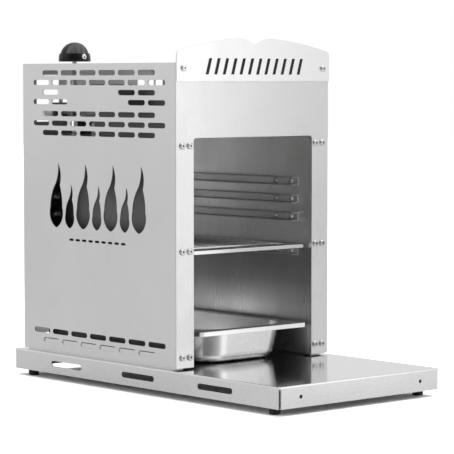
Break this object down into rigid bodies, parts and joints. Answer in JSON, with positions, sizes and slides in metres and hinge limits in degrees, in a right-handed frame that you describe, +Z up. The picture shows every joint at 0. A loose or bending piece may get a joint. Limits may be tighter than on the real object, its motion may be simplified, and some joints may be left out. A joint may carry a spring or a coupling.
{
  "type": "upper-heat gas steak grill",
  "caption": "Table-top gas grill with an open-fronted stainless cavity, a burner in its roof, shelf rails, a sliding grate and a drip pan on a folded base tray.",
  "frame": {"origin": "centre of the footprint, on the surface that the rubber feet stand on", "axes": "+Z up, +Y to the back, +X to the user's right at the open front"},
  "size_m": [0.2434, 0.4682, 0.3994],
  "materials": {
    "stainless_base": "fine brushed, bright",
    "stainless_satin": "satin",
    "stainless_front": "fine satin, light",
    "stainless_liner": "satin, slightly dulled by heat",
    "aluminised_steel": "matt",
    "plaque_ceramic": "matt, perforated",
    "white_ceramic": "glazed",
    "gas_nickel": "nickel plated, dull",
    "valve_steel": "machined",
    "copper_alloy": "drawn",
    "black_plastic": "matt",
    "lead_rubber": "silicone sleeve",
    "knob_gloss": "gloss",
    "pointer_white": "gloss",
    "grate_chrome": "bright",
    "pan_steel": "bright satin",
    "foot_rubber": "matt",
    "fastener_steel": "bright"
  },
  "bodies": {
    "casing": {"anchor_nuts": "fastener_steel", "anchor_screws": "fastener_steel", "back_panel": "stainless_satin", "back_screws": "fastener_steel", "base_tray": "stainless_base", "burner_housing": "aluminised_steel", "burner_mesh": "stainless_liner", "ceramic_tiles": "plaque_ceramic", "crown_backing": "black_plastic", "electrode_insulator": "white_ceramic", "electrode_wire": "valve_steel", "foot_nuts": "fastener_steel", "foot_screws": "fastener_steel", "frame_nuts": "fastener_steel", "frame_screws": "fastener_steel", "front_frame": "stainless_front", "gas_injector": "gas_nickel", "gas_valve_body": "gas_nickel", "header_plate": "stainless_front", "header_screws": "fastener_steel", "ignition_lead": "lead_rubber", "inlet_fitting": "gas_nickel", "inlet_nut": "gas_nickel", "left_burner_hanger": "stainless_liner", "left_liner_wall": "stainless_liner", "left_mounting_angle": "stainless_satin", "left_rail_1": "stainless_liner", "left_rail_2": "stainless_liner", "left_rail_3": "stainless_liner", "left_rail_4": "stainless_liner", "left_side_panel": "stainless_satin", "liner_back_wall": "stainless_liner", "liner_top_sheet": "stainless_liner", "mixing_tube": "aluminised_steel", "outlet_nut": "gas_nickel", "piezo_igniter": "black_plastic", "rail_bolts": "fastener_steel", "rail_nuts": "fastener_steel", "right_burner_hanger": "stainless_liner", "right_liner_wall": "stainless_liner", "right_mounting_angle": "stainless_satin", "right_rail_1": "stainless_liner", "right_rail_2": "stainless_liner", "right_rail_3": "stainless_liner", "right_rail_4": "stainless_liner", "right_side_panel": "stainless_satin", "rubber_feet": "foot_rubber", "thermocouple_lead": "copper_alloy", "thermocouple_probe": "copper_alloy", "top_cover": "stainless_satin", "valve_bonnet": "gas_nickel", "valve_bracket": "aluminised_steel", "valve_spring": "valve_steel"},
    "grate": {"grate_frame": "grate_chrome", "grate_rods": "grate_chrome"},
    "drip_pan": {"drip_pan": "pan_steel"},
    "push_sleeve": {"valve_plunger": "gas_nickel"},
    "knob": {"knob": "knob_gloss", "knob_pointer": "pointer_white", "valve_stem": "valve_steel"}
  },
  "joints": [
    {"name": "grate_slide", "type": "slide", "parent": "casing", "child": "grate", "axis": [0, -1, 0], "range_m": [0, 0.26]},
    {"name": "drip_pan_slide", "type": "slide", "parent": "casing", "child": "drip_pan", "axis": [0, -1, 0], "range_m": [0, 0.27]},
    {"name": "knob_push", "type": "slide", "parent": "casing", "child": "push_sleeve", "axis": [0, 0, -1], "range_m": [0, 0.003], "stiffness_N_per_m": 400, "springref_m": -0.002, "deforming": ["valve_spring"]},
    {"name": "knob_turn", "type": "hinge", "parent": "push_sleeve", "child": "knob", "pos_m": [-0.07, 0.181, 0.38], "axis": [0, 0, 1], "range_deg": [0, 180]}
  ]
}
